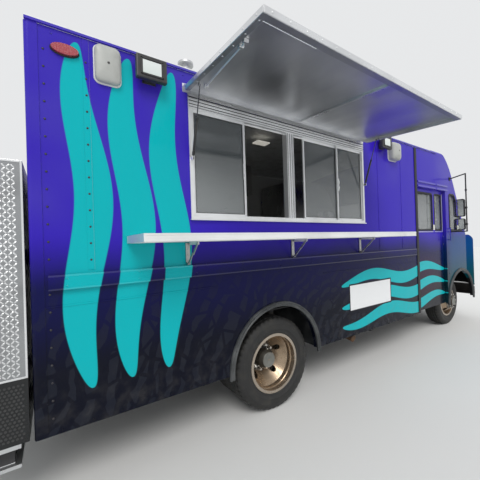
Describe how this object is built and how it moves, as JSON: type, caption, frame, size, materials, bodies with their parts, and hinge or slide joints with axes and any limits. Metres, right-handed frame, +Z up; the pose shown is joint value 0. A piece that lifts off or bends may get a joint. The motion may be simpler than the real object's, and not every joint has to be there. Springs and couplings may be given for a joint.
{
  "type": "food truck",
  "caption": "Walk-in van fitted out as a food truck, with a propped awning over a serving window, a folding shelf, sliding cab doors, a rear locker and rolling, steering wheels.",
  "frame": {"origin": "on the ground under the middle of the whole vehicle with its awning open", "axes": "+X towards the nose, +Y towards the vehicle's left side, +Z up"},
  "size_m": [7.18, 3.5472, 3.2699],
  "materials": {
    "blue_body": "gloss",
    "dark_body": "gloss",
    "chassis_black": "satin",
    "cast": "matte",
    "tyre": "matte",
    "rim": "satin",
    "rubber": "matte",
    "glass": "clear",
    "aluminium": "satin",
    "white_metal": "satin",
    "stainless": "brushed",
    "black_plastic": "matte",
    "lamp": "gloss",
    "grey_plastic": "satin",
    "seat_cloth": "woven"
  },
  "bodies": {
    "vehicle": {"arch_flares": "rubber", "body_rails": "dark_body", "cab_side_left": "dark_body", "cab_side_right": "dark_body", "chassis_frame": "chassis_black", "dashboard": "black_plastic", "door_pockets": "aluminium", "drive_shaft": "chassis_black", "driver_seat": "seat_cloth", "engine_block": "cast", "exhaust": "cast", "firewall": "black_plastic", "floor": "aluminium", "front_axle": "chassis_black", "front_bumper": "chassis_black", "front_cap": "blue_body", "fuel_tank": "chassis_black", "grille": "chassis_black", "kitchen_equipment": "stainless", "lamps": "lamp", "leaf_springs": "chassis_black", "locker": "aluminium", "mirrors": "black_plastic", "nose": "dark_body", "rear_axle": "chassis_black", "rear_bumper": "aluminium", "rear_wall": "blue_body", "roof": "white_metal", "roof_vents": "aluminium", "serving_window_frame": "aluminium", "shelf_brackets": "stainless", "side_wall_left": "blue_body", "side_wall_right": "blue_body", "wall_fittings": "grey_plastic", "window_glass": "glass"},
    "wheel_rear_right": {"rims_rear_right": "rim", "tyres_rear_right": "tyre"},
    "wheel_rear_left": {"rims_rear_left": "rim", "tyres_rear_left": "tyre"},
    "steering_right": {"knuckle_right": "cast"},
    "steering_left": {"knuckle_left": "cast"},
    "wheel_front_right": {"rim_front_right": "rim", "tyre_front_right": "tyre"},
    "wheel_front_left": {"rim_front_left": "rim", "tyre_front_left": "tyre"},
    "cab_door_right": {"cab_door_right": "dark_body", "cab_door_glass_right": "glass"},
    "cab_door_left": {"cab_door_left": "dark_body", "cab_door_glass_left": "glass"},
    "awning": {"awning": "white_metal"},
    "strut_tubes": {"awning_strut_tubes": "black_plastic"},
    "strut_rods": {"awning_strut_rods": "stainless"},
    "shelf": {"serving_shelf": "aluminium"},
    "braces_lower": {"shelf_braces_lower": "stainless"},
    "braces_upper": {"shelf_braces_upper": "stainless"},
    "rear_door": {"rear_door": "blue_body", "rear_door_glass": "glass"},
    "locker_door": {"locker_door": "aluminium"},
    "hood": {"hood": "dark_body"}
  },
  "joints": [
    {"name": "wheel_rear_right_spin", "type": "hinge", "parent": "vehicle", "child": "wheel_rear_right", "pos_m": [-1.29, -0.54237, 0.4055], "axis": [0, 1, 0], "continuous": true},
    {"name": "wheel_rear_left_spin", "type": "hinge", "parent": "vehicle", "child": "wheel_rear_left", "pos_m": [-1.29, 1.25963, 0.4055], "axis": [0, 1, 0], "continuous": true},
    {"name": "steer_right", "type": "hinge", "parent": "vehicle", "child": "steering_right", "pos_m": [2.7, -0.37637, 0.405], "axis": [0, 0, 1], "range_deg": [-35, 35]},
    {"name": "steer_left", "type": "hinge", "parent": "vehicle", "child": "steering_left", "pos_m": [2.7, 1.09363, 0.405], "axis": [0, 0, 1], "range_deg": [-35, 35]},
    {"name": "wheel_front_right_spin", "type": "hinge", "parent": "steering_right", "child": "wheel_front_right", "pos_m": [2.7, -0.52837, 0.4055], "axis": [0, 1, 0], "continuous": true},
    {"name": "wheel_front_left_spin", "type": "hinge", "parent": "steering_left", "child": "wheel_front_left", "pos_m": [2.7, 1.24563, 0.4055], "axis": [0, 1, 0], "continuous": true},
    {"name": "cab_door_right_slide", "type": "slide", "parent": "vehicle", "child": "cab_door_right", "axis": [-1, 0, 0], "range_m": [0, 0.85]},
    {"name": "cab_door_left_slide", "type": "slide", "parent": "vehicle", "child": "cab_door_left", "axis": [-1, 0, 0], "range_m": [0, 0.85]},
    {"name": "awning_hinge", "type": "hinge", "parent": "vehicle", "child": "awning", "pos_m": [-1.015, -0.88637, 2.61], "axis": [1, 0, 0], "range_deg": [0, 85.5]},
    {"name": "strut_foot", "type": "hinge", "parent": "vehicle", "child": "strut_tubes", "pos_m": [-1.015, -0.86637, 2.11], "axis": [1, 0, 0], "range_deg": [-20, 1]},
    {"name": "strut_slide", "type": "slide", "parent": "strut_tubes", "child": "strut_rods", "axis": [0, -0.3058, 0.9521], "range_m": [-0.113, 0.001]},
    {"name": "shelf_hinge", "type": "hinge", "parent": "vehicle", "child": "shelf", "pos_m": [-1.09, -0.86637, 1.497], "axis": [1, 0, 0], "range_deg": [0, 90]},
    {"name": "brace_foot", "type": "hinge", "parent": "vehicle", "child": "braces_lower", "pos_m": [-1.09, -0.86637, 1.357], "axis": [1, 0, 0], "range_deg": [-46, 1]},
    {"name": "brace_top", "type": "hinge", "parent": "shelf", "child": "braces_upper", "pos_m": [-1.09, -1.00637, 1.497], "axis": [1, 0, 0], "range_deg": [-1, 46]},
    {"name": "rear_door_hinge", "type": "hinge", "parent": "vehicle", "child": "rear_door", "pos_m": [-3.042, 1.26663, 1.7], "axis": [0, 0, -1], "range_deg": [0, 110]},
    {"name": "locker_door_hinge", "type": "hinge", "parent": "vehicle", "child": "locker_door", "pos_m": [-3.566, -0.81537, 1.375], "axis": [0, 0, 1], "range_deg": [0, 110]},
    {"name": "hood_hinge", "type": "hinge", "parent": "vehicle", "child": "hood", "pos_m": [2.97, 0.35863, 1.532], "axis": [0, -1, 0], "range_deg": [0, 60]}
  ],
  "couplings": [
    {"joint": "steer_left", "follows": "steer_right", "ratio": 1},
    {"joint": "strut_foot", "follows": "awning_hinge", "ratio": -0.23001},
    {"joint": "strut_slide", "follows": "awning_hinge", "m_per_rad": -0.074216},
    {"joint": "brace_foot", "follows": "shelf_hinge", "ratio": -0.5},
    {"joint": "brace_top", "follows": "shelf_hinge", "ratio": 0.5}
  ]
}
